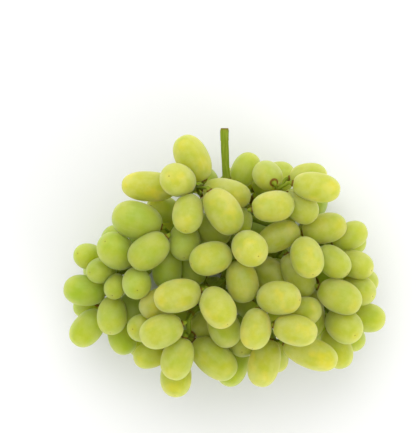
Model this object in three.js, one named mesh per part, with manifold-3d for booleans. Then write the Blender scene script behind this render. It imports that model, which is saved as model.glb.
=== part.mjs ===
// A bunch of long pale green table grapes, picked and laid down, in millimetres.
// +X runs across the bunch, +Y towards the cut end of its stalk and +Z up from the surface it lies on.
import * as THREE from "three";
import { mergeVertices } from "three/addons/utils/BufferGeometryUtils.js";
import Module from "manifold-3d";

const wasm = await Module();
wasm.setup();

// Berries
const BERRY_SIDES = 8; // facets round a berry
const UNSEEN_SIDES = 7; // facets round a berry of the back or the core
const BERRY_BANDS = 6; // facets from its stalk end to its tip
const BLUNTNESS = 2.2; // 2 is a true oval, more is a blunter one
const EGG = 0.04; // how much wider the tip half is than the stalk half
const FACET_SWELL = 1.03; // keeps a faceted berry as full as a round one
const SLIMNESS = 1.35; // a berry's least length in its own widths

// How the berries lie against each other
const PRESS = 1.5; // how deep two berries of one spray may press together
const CLEAR = 0.7; // the gap between berries of two sprays
const STEM_CLEAR = 0.5; // the gap between a berry and a stem that isn't its own
const FLAT = 0.6; // how far the surface flattens the lowest berries
const ROUNDS = 260; // steps of the settling
const EASE = 0.5; // the share of a move made in one step
const LISTED_HOLD = new THREE.Vector3(0.5, 0.5, 0.02); // how hard a berry is held to its place
const UNSEEN_HOLD = new THREE.Vector3(0.02, 0.02, 0.2);
const LOOSENED = 0.2; // how much of the hold is left when the settling ends
const BALLS = [-1, -0.5, 0, 0.5, 1]; // where the balls that stand for a berry lie along it
const STEM_STEPS = 12; // straight lengths that stand for a curved stem

// Stalk
const CUT_RADIUS = 2;
const KNOB_RADIUS = 2.4; // the swelling just below the cut
const KNOB_SHARE = 0.05; // how far down the main stem the swelling is
const PEDUNCLE_RADIUS = 2.35;
const RACHIS_TIP_RADIUS = 1.3;
const RACHIS_SIDES = 8;
const RACHIS_STEPS = 16;
const BRANCH_ROOT_RADIUS = 1.6;
const BRANCH_TIP_RADIUS = 1.1;
const BRANCH_SIDES = 4;
const STEPS_PER_FORK = 2;
const PEDICEL_RADIUS = 0.8; // the short stem of one berry
const PEDICEL_SIDES = 3;
const ROOT_DEPTH = 2; // how deep a pedicel is sunk in its berry
const SHORTEST_PEDICEL = 4;
const FORK_DROP = 15; // how far the twigs of the unseen berries hang below the forks
const HIGH_FORK = 40; // forks above this height carry such a twig
const NODE_GAP = 0.35; // the gap kept between the main stem and the sprays, and between two sprays

// The berries that don't show from above lie in two layers: the back, which the surface presses into
// a shallow bowl, and the core round the main stem.
const LAYERS = [
  { middle: [-2, -2], halfSize: [74, 52], count: 46, level: 0, rise: 18, length: [23, 27] },
  { middle: [2, 0], halfSize: [44, 42], count: 30, level: 20, rise: 4, length: [20, 24] },
];
const FLAT_SHARE = 0.5; // the share of a layer, outwards from its middle, that is level
const UNSEEN_SLIMNESS = [1.38, 1.5];
const UNSEEN_SEED = 11;
const DEEPEST_START = 2.5; // an unseen berry deeper than this in another is left out

// The middle of the bunch's box in plan, which becomes the origin.
const MIDDLE = [0.1, -0.07];

// The main stem from its cut end to its last fork: x, y, z.
const RACHIS = [
  [0, 74, 44],
  [0, 68, 44],
  [1.2, 47, 42],
  [4, 31.5, 40],
  [3, 9.5, 38],
  [-1.5, -15, 36],
  [-7, -37, 33],
  [-8.5, -50, 30],
];

// Each spray is one side branch. It leaves the main stem at the share "from" of its length and runs
// through its forks, each x, y, z. A berry is the number of its fork, its middle's x, y, z, its length
// in plan, its width, and the way its tip points in plan, in degrees from +X.
const SPRAYS = {
  upper_left: {
    from: 0.36,
    forks: [[-8.5, 43, 48], [-15.5, 41, 54]],
    berries: [
      [0, -17.5, 57, 60, 27.5, 18, 118],
      [1, -1, 28, 74, 27.5, 18.5, -58],
      [1, -25, 45, 70, 19.5, 18, 158],
      [1, -41, 42, 57, 31, 16.5, 178],
      [1, -20, 27, 72, 21.5, 17, -98],
      [0, -1, 39, 58, 27, 16, -12],
    ],
  },
  upper_right: {
    from: 0.3,
    forks: [[7.5, 37, 40], [14, 29, 54], [29, 40, 60]],
    berries: [
      [0, 11.5, 51, 38, 20, 15, 62],
      [1, 26.5, 31, 70, 23.5, 17, 9],
      [1, 10, 24.5, 58, 15.5, 12.5, -100],
      [2, 24, 47.5, 54, 17, 15.5, 131],
      [2, 50, 41, 66, 26.5, 16, -10],
      [2, 46, 47, 53, 21, 15.5, 5],
      [2, 42, 30.5, 60, 21.5, 16, -42],
    ],
  },
  right: {
    from: 0.45,
    forks: [[40, 15, 48], [46.5, 12.5, 46], [55.5, 8, 38], [61.5, -8.5, 34]],
    berries: [
      [0, 54.5, 19, 60, 25, 16.5, 12],
      [0, 45, 3, 70, 22.5, 18, -72],
      [1, 59.5, 0.5, 60, 21, 16, -40],
      [2, 68.5, 15, 46, 21, 15, 20],
      [2, 72, -1.5, 46, 20, 15.5, -20],
      [3, 76, -10, 32, 18, 14.5, -15],
      [3, 73.5, -14.5, 45, 20, 16, -25],
    ],
  },
  centre: {
    from: 0.5,
    forks: [[5, 10.5, 52], [14, 8.5, 46], [32, 7.5, 43]],
    berries: [
      [0, 13.5, 8, 79, 20.5, 18.5, -42],
      [0, -7.5, 2.5, 72, 23.5, 18, -165],
      [0, 9.5, -10, 67, 24, 17.5, -80],
      [1, 29.5, 14, 61, 25, 15.5, 24],
      [2, 40, -7, 53, 26.5, 16.5, -62],
      [1, 26, -7, 52, 23, 17, -52],
    ],
  },
  lower_right: {
    from: 0.62,
    forks: [[47.5, -12, 44], [53.5, -24, 38], [61.5, -30.5, 32]],
    berries: [
      [0, 63, -18.5, 60, 25.5, 18, -25],
      [0, 48, -27, 44, 27.5, 15, -84],
      [1, 65.5, -34.5, 52, 21.5, 18.5, -42],
      [1, 62, -47, 40, 24, 16.5, -68],
      [2, 78, -30.5, 36, 22, 16, -8],
      [2, 69.5, -40.5, 28, 19, 14.5, -48],
    ],
  },
  bottom_right: {
    from: 0.72,
    forks: [[17, -20, 54], [24, -34, 55], [27, -42.5, 44]],
    berries: [
      [0, 29.5, -19.5, 75, 24, 18.5, -4],
      [0, 17, -36, 73, 22.5, 17, -98],
      [1, 38.5, -36.5, 69, 24.5, 17, -12],
      [2, 47, -49.5, 57, 31.5, 17, -21],
      [2, 22, -55, 52, 27, 17.5, -104],
      [2, 28, -48.5, 36, 17, 14, -80],
      [1, 42, -27.5, 57, 23, 16.5, 19],
    ],
  },
  centre_low: {
    from: 0.68,
    forks: [[-9.5, -14, 56], [-29, -11.5, 46]],
    berries: [
      [0, -4, -24, 78, 23.5, 18.5, -60],
      [0, -25.5, -18, 74, 26.5, 18, -167],
      [1, -37.5, -20.5, 60, 21, 15.5, -150],
      [0, -0.5, -35.5, 55, 23, 17.5, -66],
    ],
  },
  lower_left: {
    from: 0.75,
    forks: [[-18.5, -28, 53], [-20, -40.5, 48], [-27, -45, 40]],
    berries: [
      [0, -34.5, -37, 68, 24.5, 18, -160],
      [1, -25.5, -52.5, 62, 24, 17.5, -106],
      [1, -6, -52.5, 52, 29.5, 18.5, -41],
      [2, -26.5, -63, 44, 22, 17, -94],
      [2, -40.5, -51, 46, 19.5, 14.5, -165],
      [2, -44.5, -35.5, 50, 17.5, 15.5, -175],
      [1, -13, -34.5, 44, 20, 15.5, 40],
    ],
  },
  tip: {
    from: 0.93,
    forks: [[9, -42.5, 36]],
    berries: [
      [0, 5, -57, 36, 24, 16, -112],
      [0, 9.5, -43.5, 42, 16.5, 14.5, -90],
    ],
  },
  left: {
    from: 0.46,
    forks: [[-23.5, 22.5, 46], [-30, 16, 53]],
    berries: [
      [1, -48, 23, 62, 28, 20.5, 164],
      [1, -41.5, 6.5, 68, 25, 18, -142],
      [0, -23, 12, 64, 21, 17, -92],
      [0, -34, 29.5, 46, 17.5, 15, 165],
      [0, -6.5, 18.5, 58, 22, 16.5, -30],
      [1, -31, -4.5, 54, 23, 16.5, -93],
      [1, -20.5, -3.5, 50, 23, 16.5, -70],
    ],
  },
  left_wing: {
    from: 0.56,
    forks: [[-48.5, -3, 44], [-58.5, -7.5, 40], [-62, -19, 36], [-54, -27, 30]],
    berries: [
      [0, -59, 6.5, 60, 22, 19, 139],
      [0, -47.5, -12, 60, 17, 16, -80],
      [1, -74.5, 3, 42, 17, 14.5, 163],
      [1, -67.5, -4.5, 50, 16.5, 14, -172],
      [1, -60, -13, 54, 14, 12, -108],
      [2, -77, -15.5, 42, 23.5, 17, 174],
      [2, -75.5, -36, 32, 23.5, 16.5, -130],
      [2, -62, -29, 48, 21, 16.5, -94],
      [2, -76, -24.5, 28, 15, 12.5, -160],
      [3, -56.5, -41, 36, 20.5, 15, -72],
      [3, -50.5, -25.5, 40, 18.5, 15.5, -80],
    ],
  },
};

const UP = new THREE.Vector3(0, 0, 1);
const GOLDEN_ANGLE = Math.PI * (3 - Math.sqrt(5));
const sprays = Object.keys(SPRAYS);
const point = (xyz) => new THREE.Vector3(...xyz);
const smooth = (points) => new THREE.CatmullRomCurve3(points, false, "catmullrom", 0.5);

// The centre line of the main stem, and the forks and the centre line of each spray's branch.
const rachis = smooth(RACHIS.map(point));
const forksOf = Object.fromEntries(sprays.map((spray) => [spray, SPRAYS[spray].forks.map(point)]));
const branchOf = Object.fromEntries(
  sprays.map((spray) => [spray, smooth([rachis.getPoint(SPRAYS[spray].from), ...forksOf[spray]])]),
);

// Where the unseen berries can start: a twig below each high fork, and each low fork itself.
const unseenStarts = sprays.flatMap((spray) =>
  forksOf[spray].map((fork) => {
    if (fork.z < HIGH_FORK) return { spray, start: fork, twig: null };
    const start = fork.clone().addScaledVector(UP, -FORK_DROP);
    return { spray, start, twig: [fork, start] };
  }),
);

// --- Placing the berries -------------------------------------------------------------------------

// A berry with what the settling needs: the balls that stand for it, and the place it is held to.
function makeBerry({ spray, start, twig = null, centre, axis, length, width, hold, sides = BERRY_SIDES }) {
  const half = length / 2;
  const wide = width / 2;
  const focus = half ** 2 - wide ** 2;
  const reach = focus / half;
  const balls = BALLS.map((share) => ({
    along: share * reach,
    radius: wide * Math.sqrt(1 - (share * reach) ** 2 / focus),
  }));
  return { spray, start, twig, centre, axis, half, wide, balls, hold, sides, home: centre.clone() };
}

// A berry shorter in plan than it is long stands up from the plan, away from its fork.
function listedBerry(spray, [fork, x, y, z, planLength, width, heading]) {
  const start = forksOf[spray][fork];
  const length = Math.max(planLength, SLIMNESS * width);
  const rise = Math.sqrt((length ** 2 - planLength ** 2) / (length ** 2 - width ** 2));
  const level = Math.sqrt(1 - rise ** 2);
  const turn = THREE.MathUtils.degToRad(heading);
  const way = z < start.z ? -1 : 1;
  const axis = new THREE.Vector3(level * Math.cos(turn), level * Math.sin(turn), way * rise);
  return makeBerry({ spray, start, centre: new THREE.Vector3(x, y, z), axis, length, width, hold: LISTED_HOLD });
}

// How far below its middle a berry reaches.
const depth = ({ half, wide, axis }) => Math.sqrt((half * axis.z) ** 2 + wide ** 2 * (1 - axis.z ** 2));

// The gap between the closest balls of two berries, and the way from the second berry to the first.
function gapBetween(one, other) {
  let best = { gap: Infinity, way: UP };
  for (const ball of one.balls) {
    const from = one.centre.clone().addScaledVector(one.axis, ball.along);
    for (const facing of other.balls) {
      const way = from.clone().addScaledVector(other.axis, -facing.along).sub(other.centre);
      const gap = way.length() - ball.radius - facing.radius;
      if (gap < best.gap) best = { gap, way: way.normalize() };
    }
  }
  return best;
}

// The gap between a berry and a straight stem, and the way from the stem to the berry.
function gapToStem(berry, { line, radius }) {
  let best = { gap: Infinity, way: UP };
  const nearest = new THREE.Vector3();
  for (const ball of berry.balls) {
    const from = berry.centre.clone().addScaledVector(berry.axis, ball.along);
    line.closestPointToPoint(from, true, nearest);
    const way = from.sub(nearest);
    const gap = way.length() - ball.radius - radius;
    if (gap < best.gap) best = { gap, way: way.normalize() };
  }
  return best;
}

const baseOf = ({ centre, axis, half }) => centre.clone().addScaledVector(axis, -half);
const pedicelOf = (berry) => ({ line: new THREE.Line3(berry.start, baseOf(berry)), radius: PEDICEL_RADIUS });

let drawn = UNSEEN_SEED;
function draw([low, high]) {
  drawn = (drawn * 1664525 + 1013904223) % 4294967296;
  return low + ((high - low) * drawn) / 4294967296;
}

const berries = sprays.flatMap((spray) => SPRAYS[spray].berries.map((row) => listedBerry(spray, row)));

// The berries of a layer stand on a sunflower spiral, each pointing away from the nearest start.
for (const { middle, halfSize, count, level, rise, length: lengths } of LAYERS) {
  for (let place = 0; place < count; place += 1) {
    const length = draw(lengths);
    const width = length / draw(UNSEEN_SLIMNESS);
    const share = Math.sqrt((place + 0.5) / count);
    const turn = place * GOLDEN_ANGLE;
    const x = middle[0] + halfSize[0] * share * Math.cos(turn);
    const y = middle[1] + halfSize[1] * share * Math.sin(turn);
    const bottom = level - FLAT + rise * (Math.max(share - FLAT_SHARE, 0) / (1 - FLAT_SHARE)) ** 2;
    const centre = new THREE.Vector3(x, y, length / 2 + bottom);
    const starts = unseenStarts.filter(({ start }) => start.distanceTo(centre) > length / 2 + SHORTEST_PEDICEL);
    starts.sort((one, other) => one.start.distanceTo(centre) - other.start.distanceTo(centre));
    const axis = centre.clone().sub(starts[0].start).normalize();
    const berry = makeBerry({ ...starts[0], centre, axis, length, width, hold: UNSEEN_HOLD, sides: UNSEEN_SIDES });
    berry.centre.z = depth(berry) + bottom;
    berry.home.copy(berry.centre);
    if (berries.every((other) => gapBetween(berry, other).gap > -DEEPEST_START)) berries.push(berry);
  }
}

// --- Settling ------------------------------------------------------------------------------------

const twigs = [...new Set(berries.map(({ twig }) => twig))].filter((twig) => twig);
const stems = twigs.map((ends) => ({ line: new THREE.Line3(...ends), radius: BRANCH_TIP_RADIUS }));
for (const curve of [rachis, ...Object.values(branchOf)]) {
  const radius = curve === rachis ? PEDUNCLE_RADIUS : BRANCH_TIP_RADIUS;
  const points = curve.getPoints(STEM_STEPS);
  for (let step = 1; step <= STEM_STEPS; step += 1) {
    stems.push({ line: new THREE.Line3(points[step - 1], points[step]), radius });
  }
}

// Each round every berry is pushed off what it is too close to and drawn to its own place, and kept
// on the surface.
for (let round = 0; round < ROUNDS; round += 1) {
  const moves = berries.map(() => new THREE.Vector3());
  const pedicels = berries.map(pedicelOf);
  for (let i = 0; i < berries.length; i += 1) {
    for (let j = i + 1; j < berries.length; j += 1) {
      const one = berries[i];
      const other = berries[j];
      if (one.centre.distanceTo(other.centre) > one.half + other.half + CLEAR) continue;
      const { gap, way } = gapBetween(one, other);
      const push = Math.max((one.spray === other.spray ? -PRESS : CLEAR) - gap, 0);
      moves[i].addScaledVector(way, push / 2);
      moves[j].addScaledVector(way, -push / 2);
    }
  }
  berries.forEach((berry, index) => {
    for (const stem of [...stems, ...pedicels.filter((_, owner) => owner !== index)]) {
      const { gap, way } = gapToStem(berry, stem);
      moves[index].addScaledVector(way, Math.max(STEM_CLEAR - gap, 0));
    }
    const back = berry.home.clone().sub(berry.centre).multiply(berry.hold);
    moves[index].addScaledVector(back, 1 + (LOOSENED - 1) * (round / ROUNDS));
    berry.centre.addScaledVector(moves[index], EASE);
    berry.centre.z = Math.max(berry.centre.z, depth(berry) - FLAT);
  });
}

// --- Solids --------------------------------------------------------------------------------------

function solidOf(geometry) {
  geometry.deleteAttribute("normal");
  geometry.deleteAttribute("uv");
  const { attributes, index } = mergeVertices(geometry);
  const vertProperties = Float32Array.from(attributes.position.array);
  return new wasm.Manifold(new wasm.Mesh({ numProp: 3, vertProperties, triVerts: Uint32Array.from(index.array) }));
}

const join = (solids) => solids.reduce((whole, solid) => whole.add(solid));

// Moves each vertex of a geometry to where the function says.
function reshape(geometry, place) {
  const { position } = geometry.attributes;
  const vertex = new THREE.Vector3();
  for (let index = 0; index < position.count; index += 1) {
    vertex.fromBufferAttribute(position, index);
    place(vertex);
    position.setXYZ(index, vertex.x, vertex.y, vertex.z);
  }
  return geometry;
}

const blunted = (value) => Math.sign(value) * Math.abs(value) ** (2 / BLUNTNESS);

// A berry is a blunt oval round +Y, turned to its own axis. "extra" is the room to leave round it.
function berrySolid({ centre, axis, half, wide, sides }, extra) {
  const turn = new THREE.Quaternion().setFromUnitVectors(new THREE.Vector3(0, 1, 0), axis);
  const sphere = new THREE.SphereGeometry(1, sides, BERRY_BANDS);
  return solidOf(
    reshape(sphere, (vertex) => {
      const around = Math.sqrt(vertex.x ** 2 + vertex.z ** 2);
      const along = blunted(vertex.y);
      const girth = (wide * (1 + EGG * along) + extra) * FACET_SWELL;
      const out = around > 1e-6 ? (blunted(around) / around) * girth : 0;
      vertex.set(vertex.x * out, along * (half + extra), vertex.z * out);
      vertex.applyQuaternion(turn).add(centre);
    }),
  );
}

// The centre and the two sides of a stem at each step along its curve, turned as little as can be.
function framesAlong(curve, steps) {
  const frames = [];
  let side = UP.clone().cross(curve.getTangent(0));
  if (side.length() < 0.1) side = new THREE.Vector3(1, 0, 0);
  for (let step = 0; step <= steps; step += 1) {
    const tangent = curve.getTangent(step / steps);
    side = side.clone().addScaledVector(tangent, -side.dot(tangent)).normalize();
    frames.push({ centre: curve.getPoint(step / steps), side, other: tangent.clone().cross(side) });
  }
  return frames;
}

// A stem follows a curve. Its radius is a function of the share of the way along it.
function stemSolid(curve, radiusAt, sides, steps) {
  const frames = framesAlong(curve, steps);
  const tube = new THREE.CylinderGeometry(1, 1, 1, sides, steps);
  return solidOf(
    reshape(tube, (vertex) => {
      const share = vertex.y + 0.5;
      const { centre, side, other } = frames[Math.round(share * steps)];
      const radius = radiusAt(share);
      const { x, z } = vertex;
      vertex.copy(centre).addScaledVector(other, x * radius).addScaledVector(side, z * radius);
    }),
  );
}

const taper = (first, last) => (share) => first + (last - first) * share;

// The main stem: flat cut end, a swelling just below it, then a steady taper.
function rachisRadius(share) {
  if (share < KNOB_SHARE) return taper(CUT_RADIUS, KNOB_RADIUS)(share / KNOB_SHARE);
  if (share < 3 * KNOB_SHARE) return taper(KNOB_RADIUS, PEDUNCLE_RADIUS)((share / KNOB_SHARE - 1) / 2);
  return taper(PEDUNCLE_RADIUS, RACHIS_TIP_RADIUS)(share);
}

const rachisSolid = (extra) => stemSolid(rachis, (share) => rachisRadius(share) + extra, RACHIS_SIDES, RACHIS_STEPS);

// A berry's own stem runs from its fork into the berry.
function pedicelSolid(berry, extra) {
  const end = baseOf(berry).addScaledVector(berry.axis, ROOT_DEPTH);
  return stemSolid(new THREE.LineCurve3(berry.start, end), () => PEDICEL_RADIUS + extra, PEDICEL_SIDES, 1);
}

// A whole spray: its branch, its twigs, and its berries on their stems.
function spraySolid(spray, extra) {
  const branchRadius = taper(BRANCH_ROOT_RADIUS + extra, BRANCH_TIP_RADIUS + extra);
  const branch = stemSolid(branchOf[spray], branchRadius, BRANCH_SIDES, STEPS_PER_FORK * forksOf[spray].length);
  const own = berries.filter((berry) => berry.spray === spray);
  const ownTwigs = twigs.filter(([fork]) => forksOf[spray].includes(fork));
  const twigSolids = ownTwigs.map(([from, to]) =>
    stemSolid(new THREE.LineCurve3(from, to), () => BRANCH_TIP_RADIUS + extra, BRANCH_SIDES, 1),
  );
  const pedicels = own.map((berry) => pedicelSolid(berry, extra));
  return join([branch, ...twigSolids, ...pedicels, ...own.map((berry) => berrySolid(berry, extra))]);
}

// The surface that the bunch lies on flattens what reaches it, and the main stem and the sprays
// before it take their room. A scrap that this cuts loose is dropped.
const underSurface = solidOf(new THREE.BoxGeometry(400, 400, 50).translate(0, 0, -25));
const rooms = [underSurface, rachisSolid(NODE_GAP)];
const solids = {};
for (const spray of sprays) {
  const cut = rooms.reduce((solid, room) => solid.subtract(room), spraySolid(spray, 0));
  const pieces = cut.decompose();
  solids[`spray_${spray}`] = pieces.reduce((best, piece) => (piece.volume() > best.volume() ? piece : best));
  rooms.push(spraySolid(spray, NODE_GAP));
}
solids.main_stem = rachisSolid(0);

// --- Model ---------------------------------------------------------------------------------------

function meshOf(name, solid, material) {
  const { vertProperties, triVerts } = solid.getMesh();
  const geometry = new THREE.BufferGeometry();
  geometry.setAttribute("position", new THREE.BufferAttribute(vertProperties, 3));
  geometry.setIndex(new THREE.BufferAttribute(triVerts, 1));
  const mesh = new THREE.Mesh(geometry, material);
  mesh.name = name;
  return mesh;
}

const berrySkin = new THREE.MeshStandardMaterial({ color: 0xb4c35a, roughness: 0.45, metalness: 0 });
const stemSkin = new THREE.MeshStandardMaterial({ color: 0x7f9a3c, roughness: 0.6, metalness: 0 });

const bunch = new THREE.Group();
for (const [name, solid] of Object.entries(solids)) {
  bunch.add(meshOf(name, solid, name === "main_stem" ? stemSkin : berrySkin));
}
bunch.position.set(-MIDDLE[0], -MIDDLE[1], 0);

export default bunch;
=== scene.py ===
"""A bunch of long pale green table grapes, picked and laid down.

+X runs across the bunch, +Y towards the cut end of its stalk and +Z up from the surface it lies on.
The layout is in millimetres, as in the part's source, and meshes are made in metres.
"""

import math
from functools import lru_cache

import bpy
import numpy as np
from bpy.props import FloatProperty, FloatVectorProperty, IntProperty, PointerProperty
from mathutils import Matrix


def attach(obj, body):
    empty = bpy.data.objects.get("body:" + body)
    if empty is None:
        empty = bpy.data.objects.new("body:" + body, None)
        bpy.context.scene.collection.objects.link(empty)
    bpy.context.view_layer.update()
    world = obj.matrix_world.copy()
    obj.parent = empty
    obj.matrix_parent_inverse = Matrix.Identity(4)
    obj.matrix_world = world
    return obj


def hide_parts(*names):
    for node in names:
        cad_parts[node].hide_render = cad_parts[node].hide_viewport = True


bl_info = {
    "name": "Bunch of green grapes",
    "version": (1, 0, 0),
    "blender": (4, 5, 0),
    "location": "View3D > Sidebar > Grapes",
    "description": "Builds a bunch of long green grapes round its packed solids",
    "category": "Object",
}

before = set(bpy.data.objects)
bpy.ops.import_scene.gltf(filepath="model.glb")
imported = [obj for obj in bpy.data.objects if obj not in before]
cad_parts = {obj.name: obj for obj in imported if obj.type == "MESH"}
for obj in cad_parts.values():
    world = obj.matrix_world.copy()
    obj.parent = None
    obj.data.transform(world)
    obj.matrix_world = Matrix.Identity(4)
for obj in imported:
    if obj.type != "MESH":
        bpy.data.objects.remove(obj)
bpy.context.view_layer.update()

MM = 0.001

# --- Layout, the same as in the part's source ----------------------------------------------------

BLUNTNESS = 2.2  # 2 is a true oval, more is a blunter one
EGG = 0.04  # how much wider the tip half is than the stalk half
SLIMNESS = 1.35  # a berry's least length in its own widths

PRESS = 1.5  # how deep two berries of one spray may press together
CLEAR = 0.7  # the gap between berries of two sprays
STEM_CLEAR = 0.5  # the gap between a berry and a stem that isn't its own
FLAT = 0.6  # how far the surface flattens the lowest berries
ROUNDS = 260  # steps of the settling
EASE = 0.5  # the share of a move made in one step
LISTED_HOLD = (0.5, 0.5, 0.02)  # how hard a berry is held to its place
UNSEEN_HOLD = (0.02, 0.02, 0.2)
LOOSENED = 0.2  # how much of the hold is left when the settling ends
BALLS = np.array([-1, -0.5, 0, 0.5, 1])  # where the balls that stand for a berry lie along it
STEM_STEPS = 12  # straight lengths that stand for a curved stem

CUT_RADIUS = 2
KNOB_RADIUS = 2.4  # the swelling just below the cut
KNOB_SHARE = 0.05  # how far down the main stem the swelling is
KNOB_FADE = 2  # how many such shares further down it is gone
PEDUNCLE_RADIUS = 2.35
RACHIS_TIP_RADIUS = 1.3
BRANCH_ROOT_RADIUS = 1.6
BRANCH_TIP_RADIUS = 1.1
PEDICEL_RADIUS = 0.8  # the short stem of one berry
SHORTEST_PEDICEL = 4
FORK_DROP = 15  # how far the twigs of the unseen berries hang below the forks
HIGH_FORK = 40  # forks above this height carry such a twig

# The berries that don't show from above lie in two layers: the back, which the surface presses into
# a shallow bowl, and the core round the main stem. "level" is the height of a layer's underside.
LAYERS = (
    {"middle": (-2, -2), "half": (74, 52), "count": 46, "level": 0, "rise": 18, "length": (23, 27)},
    {"middle": (2, 0), "half": (44, 42), "count": 30, "level": 20, "rise": 4, "length": (20, 24)},
)
FLAT_SHARE = 0.5  # the share of a layer, outwards from its middle, that is level
UNSEEN_SLIMNESS = (1.38, 1.5)
UNSEEN_SEED = 11
DRAW_FACTOR = 1664525  # one draw leads to the next by this factor, this sum and this range
DRAW_ADDED = 1013904223
DRAW_RANGE = 2**32
DEEPEST_START = 2.5  # an unseen berry deeper than this in another is left out

MIDDLE = (0.1, -0.07)  # the middle of the bunch's box in plan, which becomes the origin

# The main stem from its cut end to its last fork: x, y, z.
RACHIS = (
    (0, 74, 44),
    (0, 68, 44),
    (1.2, 47, 42),
    (4, 31.5, 40),
    (3, 9.5, 38),
    (-1.5, -15, 36),
    (-7, -37, 33),
    (-8.5, -50, 30),
)

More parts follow.
